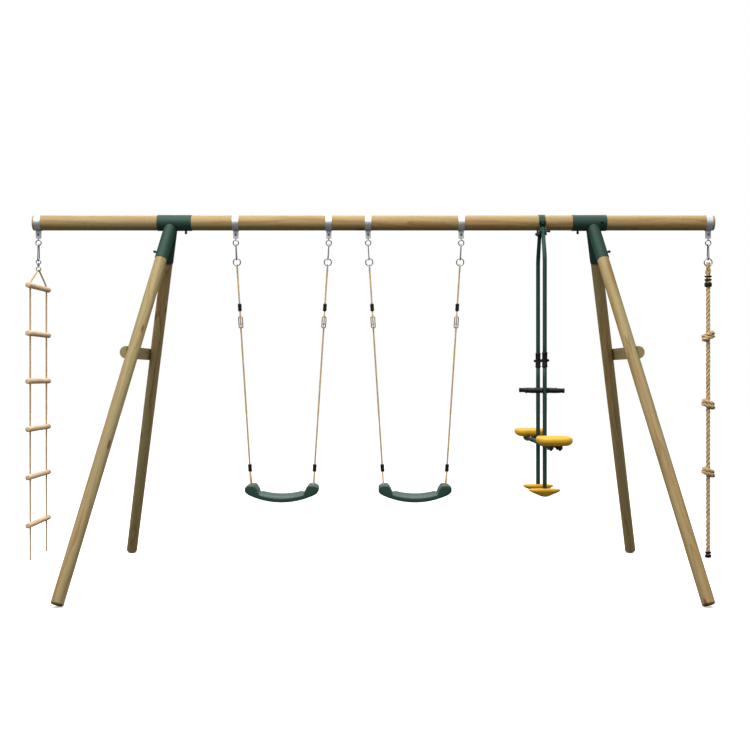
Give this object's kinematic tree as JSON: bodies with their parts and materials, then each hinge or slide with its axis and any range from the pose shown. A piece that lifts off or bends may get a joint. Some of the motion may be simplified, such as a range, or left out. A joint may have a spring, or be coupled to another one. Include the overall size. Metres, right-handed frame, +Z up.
{
  "type": "swing set",
  "caption": "Timber A-frame swing set with a round-log beam, rope ladder, two rope swings, a face-to-face glider and a knotted climbing rope.",
  "frame": {"origin": "on the ground, below the middle of the beam", "axes": "+X along the beam towards the climbing rope, +Y from the front to the rear legs, +Z up"},
  "size_m": [4.096, 1.9632, 2.169],
  "materials": {
    "pine": "pressure-treated round timber",
    "beech": "turned hardwood",
    "green_steel": "satin powder coat",
    "green_plastic": "satin moulded plastic",
    "yellow_plastic": "satin moulded plastic",
    "black_rubber": "matt",
    "zinc": "galvanised",
    "rope": "laid rope"
  },
  "bodies": {
    "frame": {"beam_left_log": "pine", "beam_middle_log": "pine", "beam_right_log": "pine", "beam_spigots": "zinc", "bracket_left": "green_steel", "bracket_right": "green_steel", "frame_bolts": "zinc", "frame_bolt_caps": "black_rubber", "leg_front_left": "pine", "leg_rear_left": "pine", "leg_front_right": "pine", "leg_rear_right": "pine", "crossbar_left": "pine", "crossbar_right": "pine", "hanger_bands": "zinc", "hanger_bolts": "zinc", "swing_eyes": "zinc", "glider_clamp_upper": "green_steel", "glider_clamp_lower": "green_steel", "glider_clamp_bolts": "zinc", "glider_pivot_bolts": "zinc"},
    "swing_left": {"swing_left_hooks": "zinc", "swing_left_rings": "zinc", "swing_left_ropes": "rope", "swing_left_ferrules": "black_rubber", "swing_left_adjusters": "zinc", "swing_left_seat": "green_plastic"},
    "swing_right": {"swing_right_hooks": "zinc", "swing_right_rings": "zinc", "swing_right_ropes": "rope", "swing_right_ferrules": "black_rubber", "swing_right_adjusters": "zinc", "swing_right_seat": "green_plastic"},
    "ladder_eye": {"ladder_eye": "zinc"},
    "ladder_hook": {"ladder_hook": "zinc", "ladder_swivel_upper": "zinc"},
    "ladder": {"ladder_swivel_lower": "zinc", "ladder_rope_front": "rope", "ladder_rope_rear": "rope", "ladder_rungs": "beech"},
    "rope_eye": {"rope_eye": "zinc"},
    "climbing_rope": {"rope_hook": "zinc", "rope_ring": "zinc", "climbing_rope": "rope", "rope_bands": "black_rubber"},
    "glider_front_arm": {"front_arm_tubes": "green_steel", "front_coupler": "black_rubber", "front_handlebar": "black_rubber", "front_footrest": "yellow_plastic", "front_arm_bolts": "zinc"},
    "glider_rear_arm": {"rear_arm_tubes": "green_steel", "rear_coupler": "black_rubber", "rear_handlebar": "black_rubber", "rear_footrest": "yellow_plastic", "rear_arm_bolts": "zinc"},
    "glider_seats": {"glider_seat_bars": "green_steel", "glider_seat_front": "yellow_plastic", "glider_seat_rear": "yellow_plastic", "glider_seat_bolts": "black_rubber"}
  },
  "joints": [
    {"name": "swing_left_swing", "type": "hinge", "parent": "frame", "child": "swing_left", "pos_m": [-0.556, 0, 1.9846], "axis": [1, 0, 0], "range_deg": [-60, 60]},
    {"name": "swing_right_swing", "type": "hinge", "parent": "frame", "child": "swing_right", "pos_m": [0.238, 0, 1.9846], "axis": [1, 0, 0], "range_deg": [-60, 60]},
    {"name": "ladder_eye_sway", "type": "hinge", "parent": "frame", "child": "ladder_eye", "pos_m": [-2.019, 0, 2.0516], "axis": [0, 1, 0], "range_deg": [-25, 25]},
    {"name": "ladder_swing", "type": "hinge", "parent": "ladder_eye", "child": "ladder_hook", "pos_m": [-2.019, 0, 1.9846], "axis": [1, 0, 0], "range_deg": [-50, 50]},
    {"name": "ladder_swivel", "type": "hinge", "parent": "ladder_hook", "child": "ladder", "pos_m": [-2.019, 0, 1.865], "axis": [0, 0, 1], "continuous": true},
    {"name": "rope_eye_sway", "type": "hinge", "parent": "frame", "child": "rope_eye", "pos_m": [1.999, 0, 2.0516], "axis": [0, 1, 0], "range_deg": [-25, 25]},
    {"name": "rope_swing", "type": "hinge", "parent": "rope_eye", "child": "climbing_rope", "pos_m": [1.999, 0, 1.9846], "axis": [1, 0, 0], "range_deg": [-50, 50]},
    {"name": "glider_front_arm_swing", "type": "hinge", "parent": "frame", "child": "glider_front_arm", "pos_m": [0.998, -0.07, 2.062], "axis": [1, 0, 0], "range_deg": [-20, 20]},
    {"name": "glider_rear_arm_swing", "type": "hinge", "parent": "frame", "child": "glider_rear_arm", "pos_m": [0.998, 0.07, 2.062], "axis": [1, 0, 0], "range_deg": [-20, 20]},
    {"name": "glider_seat_tilt", "type": "hinge", "parent": "glider_front_arm", "child": "glider_seats", "pos_m": [0.998, -0.143, 0.807], "axis": [1, 0, 0], "range_deg": [-10, 10]}
  ],
  "couplings": [
    {"joint": "glider_rear_arm_swing", "follows": "glider_front_arm_swing", "ratio": 1},
    {"joint": "glider_seat_tilt", "follows": "glider_front_arm_swing", "ratio": -0.49}
  ]
}
